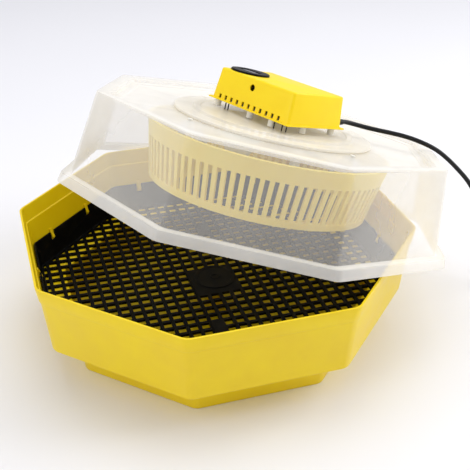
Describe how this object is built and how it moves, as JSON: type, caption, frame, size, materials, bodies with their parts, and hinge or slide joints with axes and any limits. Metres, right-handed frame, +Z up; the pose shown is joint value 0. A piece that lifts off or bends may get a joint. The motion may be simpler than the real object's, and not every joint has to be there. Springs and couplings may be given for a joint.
{
  "type": "egg incubator",
  "caption": "Octagonal tabletop egg incubator: tray with an egg grille, and a clear lid with a ring guarded heater and a control box on top, lying askew on the tray.",
  "frame": {"origin": "centre of the underside of the tray's foot", "axes": "+Z up, -Y towards the viewer, a corner of the tray on each of +X, -X, +Y and -Y"},
  "size_m": [0.8431, 0.5832, 0.3315],
  "materials": {
    "tray_yellow": "satin",
    "grille_black": "satin",
    "clear_lid": "frosted",
    "plate_cream": "satin",
    "ring_cream": "satin",
    "steel": "brushed",
    "white_plastic": "satin",
    "board_green": "satin",
    "dark_plastic": "satin",
    "blue_plastic": "satin",
    "window": "polished",
    "lead_black": "satin"
  },
  "bodies": {
    "tray": {"base_tray": "tray_yellow", "egg_grille": "grille_black", "lead_coil": "lead_black", "lead_tail": "lead_black", "plug_body": "lead_black", "plug_pin_1": "steel", "plug_pin_2": "steel"},
    "lid": {"box_cover": "tray_yellow", "lid_shell": "clear_lid", "carrier_plate": "plate_cream", "heat_guard_ring": "ring_cream", "ring_bracket_1": "steel", "ring_bracket_2": "steel", "ring_bracket_3": "steel", "ring_bracket_4": "steel", "heater_loop": "steel", "temperature_probe": "steel", "bracket_screw_1": "white_plastic", "bracket_screw_2": "white_plastic", "bracket_screw_3": "white_plastic", "bracket_screw_4": "white_plastic", "heater_holder_1": "white_plastic", "heater_holder_2": "white_plastic", "heater_holder_3": "white_plastic", "heater_holder_4": "white_plastic", "sensor_dish": "white_plastic", "box_base_plate": "white_plastic", "box_post_1": "white_plastic", "box_post_2": "white_plastic", "box_post_3": "white_plastic", "box_post_4": "white_plastic", "box_post_5": "white_plastic", "box_post_6": "white_plastic", "sensor_board": "board_green", "control_board": "board_green", "transformer": "dark_plastic", "display_module": "dark_plastic", "display_bezel": "dark_plastic", "relay": "blue_plastic", "trimmer_body": "blue_plastic", "display_window": "window", "unit_wire_1": "lead_black", "unit_wire_2": "lead_black", "unit_wire_3": "lead_black", "unit_wire_4": "lead_black", "unit_wire_5": "lead_black", "strain_relief": "lead_black", "mains_lead": "lead_black"},
    "trimmer": {"trimmer_spindle": "dark_plastic"}
  },
  "joints": [
    {"name": "lid_lift", "type": "slide", "parent": "tray", "child": "lid", "axis": [0, 0, 1], "range_m": [0, 0.2]},
    {"name": "trimmer_turn", "type": "hinge", "parent": "lid", "child": "trimmer", "pos_m": [0.05033, 0.07382, 0.3072], "axis": [-0.6697, -0.6759, 0.3076], "range_deg": [-135, 135]}
  ]
}
